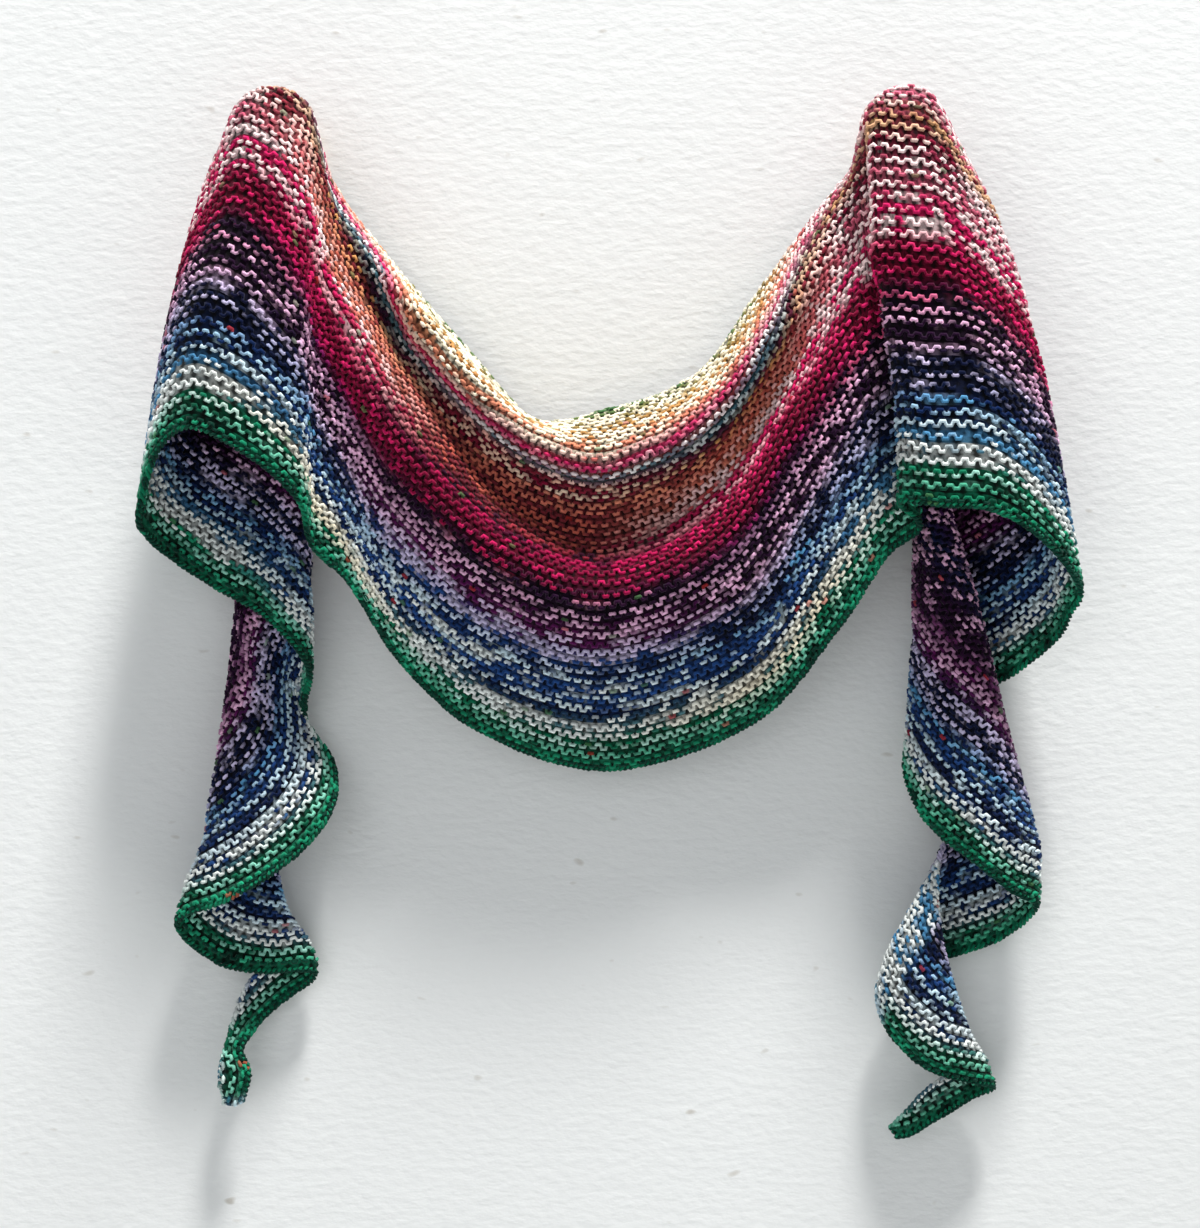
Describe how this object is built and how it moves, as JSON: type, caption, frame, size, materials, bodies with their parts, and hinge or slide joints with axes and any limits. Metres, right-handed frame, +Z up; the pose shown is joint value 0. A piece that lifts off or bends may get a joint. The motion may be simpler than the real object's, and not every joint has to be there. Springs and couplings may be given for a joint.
{
  "type": "knitted shawl on two wall pegs",
  "caption": "Crescent garter-stitch shawl hung over a pair of turned wall pegs, swagging between them, with a cone of cloth at each peg and a twisted tail below it.",
  "frame": {"origin": "on the wall plane, halfway between the axes of the two pegs", "axes": "+X to the right as seen from the room, +Y into the wall, +Z up"},
  "size_m": [0.4547, 0.0903, 0.5098],
  "materials": {
    "knitted_yarn": "soft matt wool in garter stitch, striped from a green hem through white, blue, plum, crimson and terracotta to a cream neck edge",
    "peg_wood": "oiled beech, turned"
  },
  "bodies": {
    "root": {"left_tail_curl": "knitted_yarn", "left_tail": "knitted_yarn", "left_cone": "knitted_yarn", "swag": "knitted_yarn", "right_cone": "knitted_yarn", "right_tail": "knitted_yarn", "right_tail_curl": "knitted_yarn", "left_peg": "peg_wood", "right_peg": "peg_wood"}
  },
  "joints": []
}
